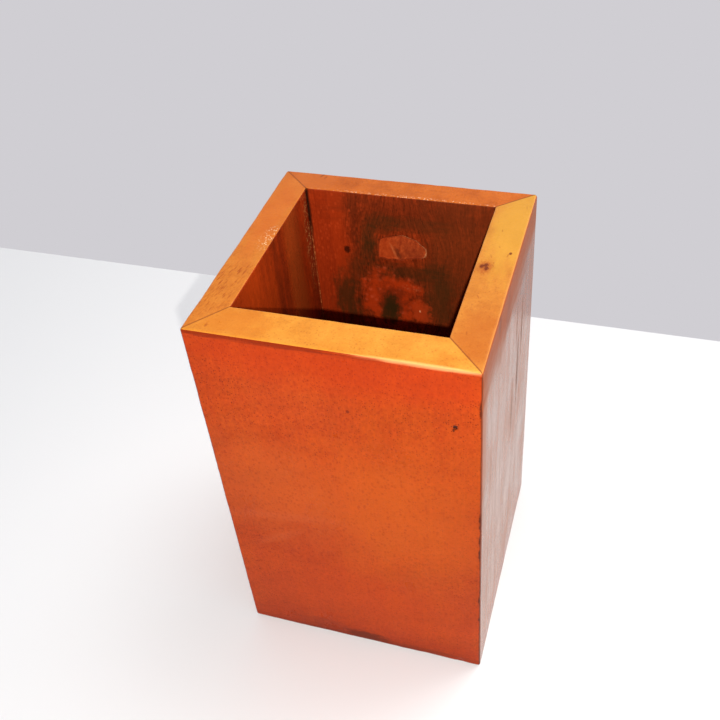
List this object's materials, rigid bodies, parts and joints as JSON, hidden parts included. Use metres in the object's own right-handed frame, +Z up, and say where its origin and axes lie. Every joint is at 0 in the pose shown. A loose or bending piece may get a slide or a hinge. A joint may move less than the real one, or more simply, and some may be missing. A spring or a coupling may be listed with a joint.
{
  "type": "pen holder cup",
  "caption": "Square upright pen holder cup of mitred hardwood boards round a grooved-in base board, open at the top.",
  "frame": {"origin": "centre of the footprint, on the surface the cup stands on", "axes": "+Z up out of the mouth, front board faces -Y, right board faces +X"},
  "size_m": [0.07, 0.07, 0.116],
  "materials": {
    "varnished_wall_wood": "clear gloss varnish over orange-red hardwood",
    "base_wood": "thin varnish, darker and less glossy than the walls",
    "wood_glue": "dried adhesive, stained dark by the varnish"
  },
  "bodies": {
    "root": {"front_wall": "varnished_wall_wood", "right_wall": "varnished_wall_wood", "rear_wall": "varnished_wall_wood", "left_wall": "varnished_wall_wood", "base_board": "base_wood", "glue_front_left": "wood_glue", "glue_front_right": "wood_glue", "glue_rear_right": "wood_glue", "glue_rear_left": "wood_glue"}
  },
  "joints": []
}
